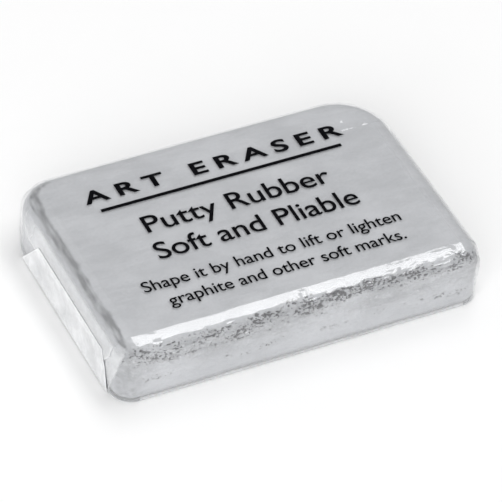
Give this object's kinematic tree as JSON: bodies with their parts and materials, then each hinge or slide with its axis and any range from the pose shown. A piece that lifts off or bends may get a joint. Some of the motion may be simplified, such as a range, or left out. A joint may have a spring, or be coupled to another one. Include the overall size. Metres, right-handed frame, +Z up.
{
  "type": "kneaded putty rubber eraser",
  "caption": "Oblong block of light grey kneaded putty rubber with a torn, pitted front side, in a tight clear film overwrap folded shut parcel-fashion at both ends.",
  "frame": {"origin": "centre of the face the wrapped block rests on", "axes": "+X along the block's length, from the left end to the right end; +Y towards the back; +Z up"},
  "size_m": [0.0446, 0.03, 0.0079],
  "materials": {
    "putty_rubber": "matte, faintly marbled light grey putty, smooth on the pressed faces and crumbly where torn",
    "clear_film": "clear glossy polypropylene film, creased at its folds, printed on the top",
    "printing_ink": "thin black ink printed on the film"
  },
  "bodies": {
    "sleeve": {"film_sleeve": "clear_film"},
    "eraser": {"eraser_block": "putty_rubber"},
    "left_bottom_flap": {"left_bottom_flap": "clear_film"},
    "left_top_flap": {"left_top_flap": "clear_film"},
    "left_front_tuck": {"left_front_tuck": "clear_film"},
    "left_back_tuck": {"left_back_tuck": "clear_film"},
    "right_bottom_flap": {"right_bottom_flap": "clear_film"},
    "right_top_flap": {"right_top_flap": "clear_film"},
    "right_front_tuck": {"right_front_tuck": "clear_film"},
    "right_back_tuck": {"right_back_tuck": "clear_film"}
  },
  "joints": [
    {"name": "eraser_slide", "type": "slide", "parent": "sleeve", "child": "eraser", "axis": [-1, 0, 0], "range_m": [0, 0.056], "deforming": ["left_bottom_flap", "left_top_flap", "left_front_tuck", "left_back_tuck"]},
    {"name": "left_bottom_flap_fold", "type": "hinge", "parent": "sleeve", "child": "left_bottom_flap", "pos_m": [-0.02225, 0, 0.00003], "axis": [0, -1, 0], "range_deg": [0, 90]},
    {"name": "left_top_flap_fold", "type": "hinge", "parent": "sleeve", "child": "left_top_flap", "pos_m": [-0.0195, 0, 0.00773], "axis": [0, 1, 0], "range_deg": [0, 90]},
    {"name": "left_front_tuck_fold", "type": "hinge", "parent": "sleeve", "child": "left_front_tuck", "pos_m": [-0.0195, -0.01498, 0.004], "axis": [0, 0, 1], "range_deg": [0, 72]},
    {"name": "left_back_tuck_fold", "type": "hinge", "parent": "sleeve", "child": "left_back_tuck", "pos_m": [-0.0177, 0.01498, 0.004], "axis": [0, 0, -1], "range_deg": [0, 72]},
    {"name": "right_bottom_flap_fold", "type": "hinge", "parent": "sleeve", "child": "right_bottom_flap", "pos_m": [0.02225, 0, 0.00003], "axis": [0, 1, 0], "range_deg": [0, 90]},
    {"name": "right_top_flap_fold", "type": "hinge", "parent": "sleeve", "child": "right_top_flap", "pos_m": [0.0195, 0, 0.00773], "axis": [0, -1, 0], "range_deg": [0, 90]},
    {"name": "right_front_tuck_fold", "type": "hinge", "parent": "sleeve", "child": "right_front_tuck", "pos_m": [0.0195, -0.01498, 0.004], "axis": [0, 0, -1], "range_deg": [0, 72]},
    {"name": "right_back_tuck_fold", "type": "hinge", "parent": "sleeve", "child": "right_back_tuck", "pos_m": [0.0157, 0.01498, 0.004], "axis": [0, 0, 1], "range_deg": [0, 72]}
  ],
  "couplings": [
    {"joint": "left_top_flap_fold", "follows": "left_bottom_flap_fold", "ratio": 1},
    {"joint": "left_front_tuck_fold", "follows": "left_bottom_flap_fold", "ratio": 0.8},
    {"joint": "left_back_tuck_fold", "follows": "left_bottom_flap_fold", "ratio": 0.8},
    {"joint": "right_top_flap_fold", "follows": "right_bottom_flap_fold", "ratio": 1},
    {"joint": "right_front_tuck_fold", "follows": "right_bottom_flap_fold", "ratio": 0.8},
    {"joint": "right_back_tuck_fold", "follows": "right_bottom_flap_fold", "ratio": 0.8}
  ]
}
